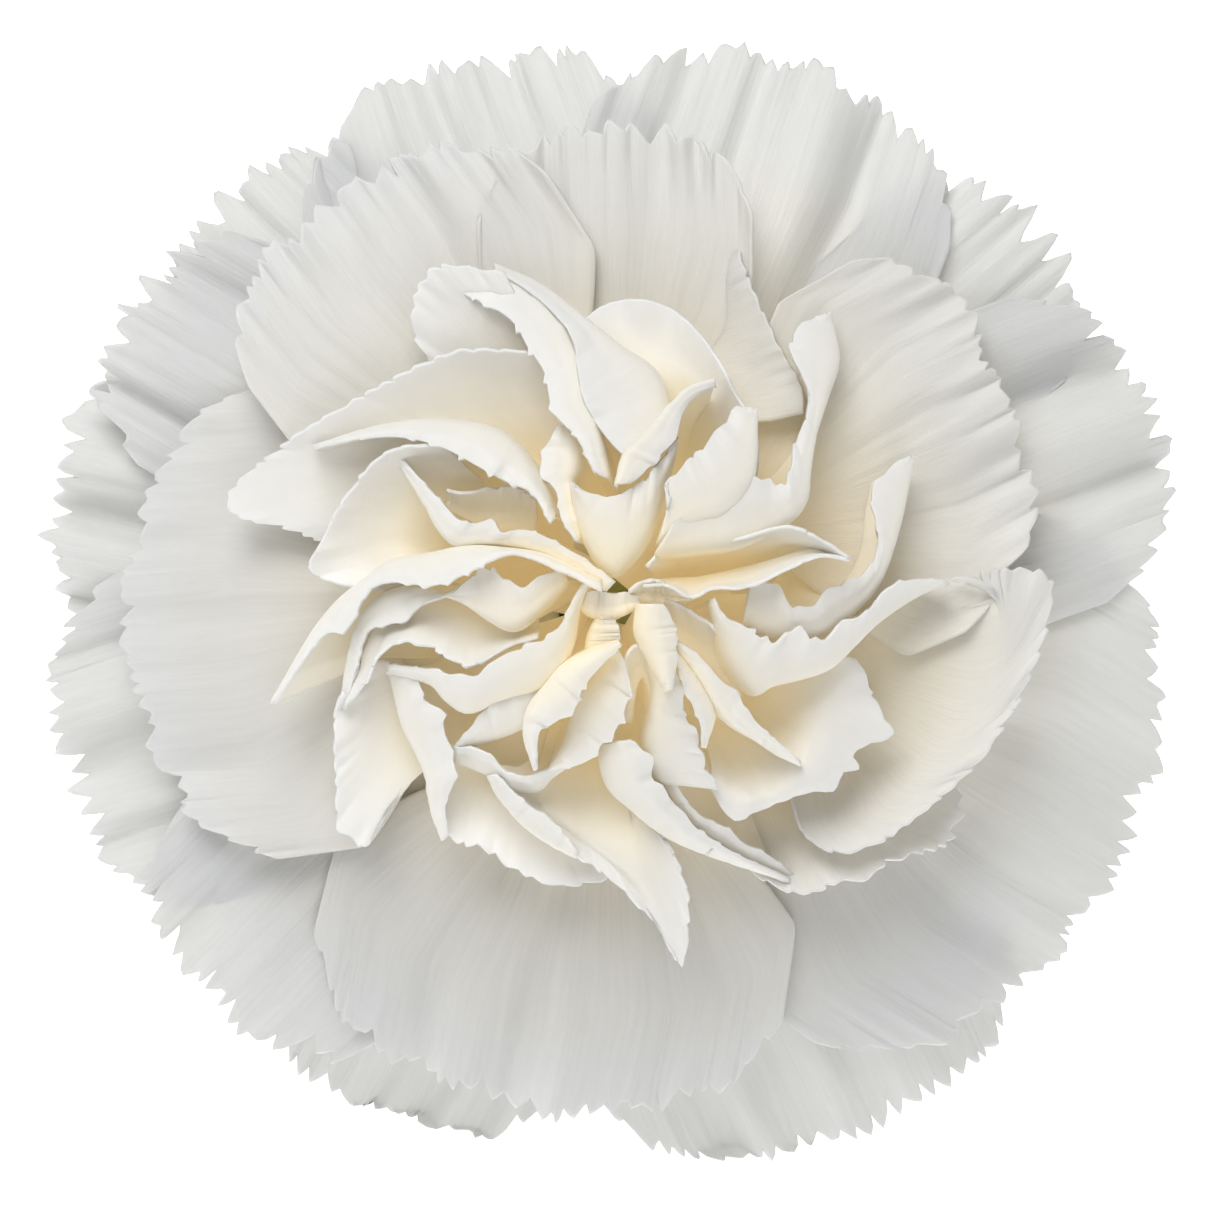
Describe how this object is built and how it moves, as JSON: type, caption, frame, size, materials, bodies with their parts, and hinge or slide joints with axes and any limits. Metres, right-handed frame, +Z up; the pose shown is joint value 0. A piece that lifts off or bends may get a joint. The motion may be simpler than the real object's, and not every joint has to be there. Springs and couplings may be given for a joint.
{
  "type": "carnation bloom",
  "caption": "Picked double carnation head with ruffled, toothed white petals in overlapping rings round a cream pinwheel heart, in a green calyx on a short stem stub.",
  "frame": {"origin": "middle of the bloom's box in plan, on the surface it rests on", "axes": "+Z up; the bloom's axis leans 28 degrees from +Z towards -Y, so the open face looks up and towards -Y; +X to the right of someone facing it"},
  "size_m": [0.078, 0.0672, 0.0498],
  "materials": {
    "petal_outer_white": "matte, soft white",
    "petal_white": "matte, soft white",
    "petal_cream": "matte cream",
    "calyx_green": "satin, waxy",
    "stem_green": "satin",
    "pistil_pale_green": "satin"
  },
  "bodies": {
    "root": {"bract_1": "calyx_green", "bract_2": "calyx_green", "bract_3": "calyx_green", "bract_4": "calyx_green", "calyx": "calyx_green", "core_petal_02": "petal_cream", "core_petal_04": "petal_cream", "core_petal_06": "petal_cream", "core_petal_08": "petal_cream", "core_petal_10": "petal_cream", "core_petal_12": "petal_cream", "core_petal_14": "petal_cream", "core_petal_16": "petal_cream", "core_petal_18": "petal_cream", "guard_petal_01": "petal_outer_white", "guard_petal_02": "petal_outer_white", "guard_petal_03": "petal_outer_white", "guard_petal_04": "petal_outer_white", "guard_petal_05": "petal_outer_white", "guard_petal_06": "petal_outer_white", "guard_petal_07": "petal_outer_white", "guard_petal_08": "petal_outer_white", "guard_petal_09": "petal_outer_white", "guard_petal_10": "petal_outer_white", "guard_petal_11": "petal_outer_white", "guard_petal_12": "petal_outer_white", "guard_petal_13": "petal_outer_white", "heart_petal_01": "petal_cream", "heart_petal_03": "petal_cream", "heart_petal_05": "petal_cream", "heart_petal_07": "petal_cream", "heart_petal_09": "petal_cream", "heart_petal_11": "petal_cream", "heart_petal_13": "petal_cream", "heart_petal_15": "petal_cream", "heart_petal_17": "petal_cream", "ovary": "pistil_pale_green", "receptacle": "pistil_pale_green", "second_petal_1": "petal_white", "second_petal_2": "petal_white", "second_petal_3": "petal_white", "second_petal_4": "petal_white", "second_petal_5": "petal_white", "second_petal_6": "petal_white", "stem_stub": "stem_green", "style_1": "pistil_pale_green", "style_2": "pistil_pale_green", "third_petal_1": "petal_cream", "third_petal_2": "petal_cream", "third_petal_3": "petal_cream", "third_petal_4": "petal_cream", "third_petal_5": "petal_cream", "third_petal_6": "petal_cream", "third_petal_7": "petal_cream"}
  },
  "joints": []
}
